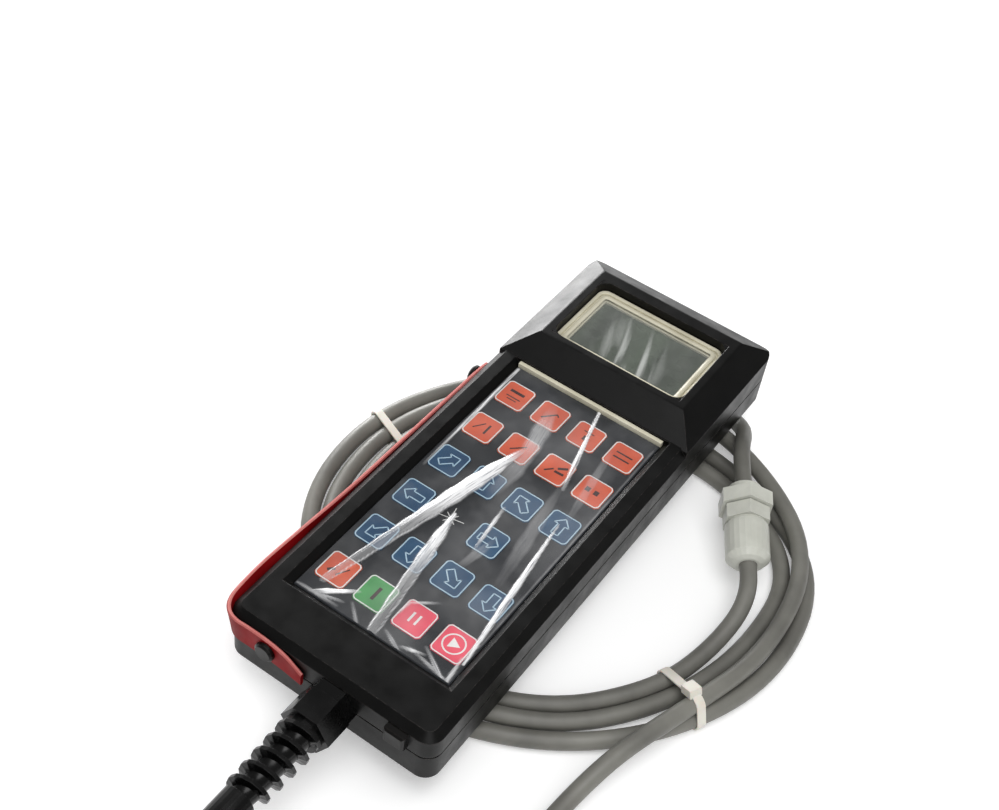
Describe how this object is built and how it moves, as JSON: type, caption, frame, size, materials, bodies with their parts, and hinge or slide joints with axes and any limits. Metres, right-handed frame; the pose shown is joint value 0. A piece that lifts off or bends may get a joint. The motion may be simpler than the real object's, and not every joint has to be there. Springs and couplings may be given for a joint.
{
  "type": "edm hand control box",
  "caption": "Black hand-held machine control box with a display head, coloured membrane keys, a red hand strap and a coiled grey cable with a cable gland.",
  "frame": {"origin": "middle of the bounding box of the box with its strap and studs, without the cable", "axes": "+X to the right of someone reading the keypad, +Y from the cable end to the display head, +Z out of the keypad"},
  "size_m": [0.219, 0.4359, 0.0511],
  "materials": {
    "case_black": "fine moulded texture, satin",
    "seal_black": "matt",
    "screw_steel": "zinc plated",
    "overlay_grey": "printed polyester sheet, satin",
    "inner_plastic": "matt",
    "circuit_film": "printed film",
    "ivory": "moulded, satin",
    "clear_film": "clear creased film",
    "clear_lens": "polished",
    "lcd_green": "satin",
    "board_green": "solder mask",
    "strap_red": "satin",
    "stud_black": "moulded",
    "gland_black": "moulded, half gloss",
    "nut_metal": "nickel plated",
    "cable_grey": "extruded PVC sheath",
    "tie_white": "moulded nylon",
    "wire_colours": "insulated conductors",
    "gland_grey": "moulded nylon, light grey",
    "key_orange": "printed, satin",
    "key_blue": "printed, satin",
    "key_green": "printed, satin",
    "key_red": "printed, satin"
  },
  "bodies": {
    "box": {"upper_shell": "case_black", "lower_shell": "case_black", "case_seal": "seal_black", "case_screws": "screw_steel", "keypad_overlay": "overlay_grey", "keypad_spacer": "inner_plastic", "keypad_circuit": "circuit_film", "keypad_carrier": "ivory", "keypad_film": "clear_film", "display_bezel": "ivory", "display_lens": "clear_lens", "lcd_glass": "lcd_green", "lcd_board": "board_green", "main_board": "board_green", "board_screws": "screw_steel", "board_headers": "inner_plastic", "hand_strap": "strap_red", "strap_studs": "stud_black", "end_plug": "stud_black", "gland_body": "gland_black", "gland_nut": "gland_black", "gland_seal": "seal_black", "gland_locknut": "nut_metal", "bend_relief": "gland_black", "cable_stub": "cable_grey", "cable_lead": "cable_grey", "cable_coil": "cable_grey", "cable_tail": "cable_grey", "cable_ties": "tie_white", "cable_wires": "wire_colours", "panel_gland_body": "gland_grey", "panel_gland_dome": "gland_grey", "panel_gland_seal": "seal_black", "panel_locknut": "gland_grey"},
    "key_a1": {"key_a1": "key_orange"},
    "key_a2": {"key_a2": "key_orange"},
    "key_a3": {"key_a3": "key_orange"},
    "key_a4": {"key_a4": "key_orange"},
    "key_b1": {"key_b1": "key_orange"},
    "key_b2": {"key_b2": "key_orange"},
    "key_b3": {"key_b3": "key_orange"},
    "key_b4": {"key_b4": "key_orange"},
    "key_c1": {"key_c1": "key_blue"},
    "key_c2": {"key_c2": "key_blue"},
    "key_c3": {"key_c3": "key_blue"},
    "key_c4": {"key_c4": "key_blue"},
    "key_d1": {"key_d1": "key_blue"},
    "key_d3": {"key_d3": "key_blue"},
    "key_e1": {"key_e1": "key_blue"},
    "key_e2": {"key_e2": "key_blue"},
    "key_e3": {"key_e3": "key_blue"},
    "key_e4": {"key_e4": "key_blue"},
    "key_f1": {"key_f1": "key_orange"},
    "key_f2": {"key_f2": "key_green"},
    "key_f3": {"key_f3": "key_red"},
    "key_f4": {"key_f4": "key_red"}
  },
  "joints": [
    {"name": "key_a1_press", "type": "slide", "parent": "box", "child": "key_a1", "axis": [0, 0, -1], "range_m": [0, 0.0005], "stiffness_N_per_m": 4000},
    {"name": "key_a2_press", "type": "slide", "parent": "box", "child": "key_a2", "axis": [0, 0, -1], "range_m": [0, 0.0005], "stiffness_N_per_m": 4000},
    {"name": "key_a3_press", "type": "slide", "parent": "box", "child": "key_a3", "axis": [0, 0, -1], "range_m": [0, 0.0005], "stiffness_N_per_m": 4000},
    {"name": "key_a4_press", "type": "slide", "parent": "box", "child": "key_a4", "axis": [0, 0, -1], "range_m": [0, 0.0005], "stiffness_N_per_m": 4000},
    {"name": "key_b1_press", "type": "slide", "parent": "box", "child": "key_b1", "axis": [0, 0, -1], "range_m": [0, 0.0005], "stiffness_N_per_m": 4000},
    {"name": "key_b2_press", "type": "slide", "parent": "box", "child": "key_b2", "axis": [0, 0, -1], "range_m": [0, 0.0005], "stiffness_N_per_m": 4000},
    {"name": "key_b3_press", "type": "slide", "parent": "box", "child": "key_b3", "axis": [0, 0, -1], "range_m": [0, 0.0005], "stiffness_N_per_m": 4000},
    {"name": "key_b4_press", "type": "slide", "parent": "box", "child": "key_b4", "axis": [0, 0, -1], "range_m": [0, 0.0005], "stiffness_N_per_m": 4000},
    {"name": "key_c1_press", "type": "slide", "parent": "box", "child": "key_c1", "axis": [0, 0, -1], "range_m": [0, 0.0005], "stiffness_N_per_m": 4000},
    {"name": "key_c2_press", "type": "slide", "parent": "box", "child": "key_c2", "axis": [0, 0, -1], "range_m": [0, 0.0005], "stiffness_N_per_m": 4000},
    {"name": "key_c3_press", "type": "slide", "parent": "box", "child": "key_c3", "axis": [0, 0, -1], "range_m": [0, 0.0005], "stiffness_N_per_m": 4000},
    {"name": "key_c4_press", "type": "slide", "parent": "box", "child": "key_c4", "axis": [0, 0, -1], "range_m": [0, 0.0005], "stiffness_N_per_m": 4000},
    {"name": "key_d1_press", "type": "slide", "parent": "box", "child": "key_d1", "axis": [0, 0, -1], "range_m": [0, 0.0005], "stiffness_N_per_m": 4000},
    {"name": "key_d3_press", "type": "slide", "parent": "box", "child": "key_d3", "axis": [0, 0, -1], "range_m": [0, 0.0005], "stiffness_N_per_m": 4000},
    {"name": "key_e1_press", "type": "slide", "parent": "box", "child": "key_e1", "axis": [0, 0, -1], "range_m": [0, 0.0005], "stiffness_N_per_m": 4000},
    {"name": "key_e2_press", "type": "slide", "parent": "box", "child": "key_e2", "axis": [0, 0, -1], "range_m": [0, 0.0005], "stiffness_N_per_m": 4000},
    {"name": "key_e3_press", "type": "slide", "parent": "box", "child": "key_e3", "axis": [0, 0, -1], "range_m": [0, 0.0005], "stiffness_N_per_m": 4000},
    {"name": "key_e4_press", "type": "slide", "parent": "box", "child": "key_e4", "axis": [0, 0, -1], "range_m": [0, 0.0005], "stiffness_N_per_m": 4000},
    {"name": "key_f1_press", "type": "slide", "parent": "box", "child": "key_f1", "axis": [0, 0, -1], "range_m": [0, 0.0005], "stiffness_N_per_m": 4000},
    {"name": "key_f2_press", "type": "slide", "parent": "box", "child": "key_f2", "axis": [0, 0, -1], "range_m": [0, 0.0005], "stiffness_N_per_m": 4000},
    {"name": "key_f3_press", "type": "slide", "parent": "box", "child": "key_f3", "axis": [0, 0, -1], "range_m": [0, 0.0005], "stiffness_N_per_m": 4000},
    {"name": "key_f4_press", "type": "slide", "parent": "box", "child": "key_f4", "axis": [0, 0, -1], "range_m": [0, 0.0005], "stiffness_N_per_m": 4000}
  ]
}
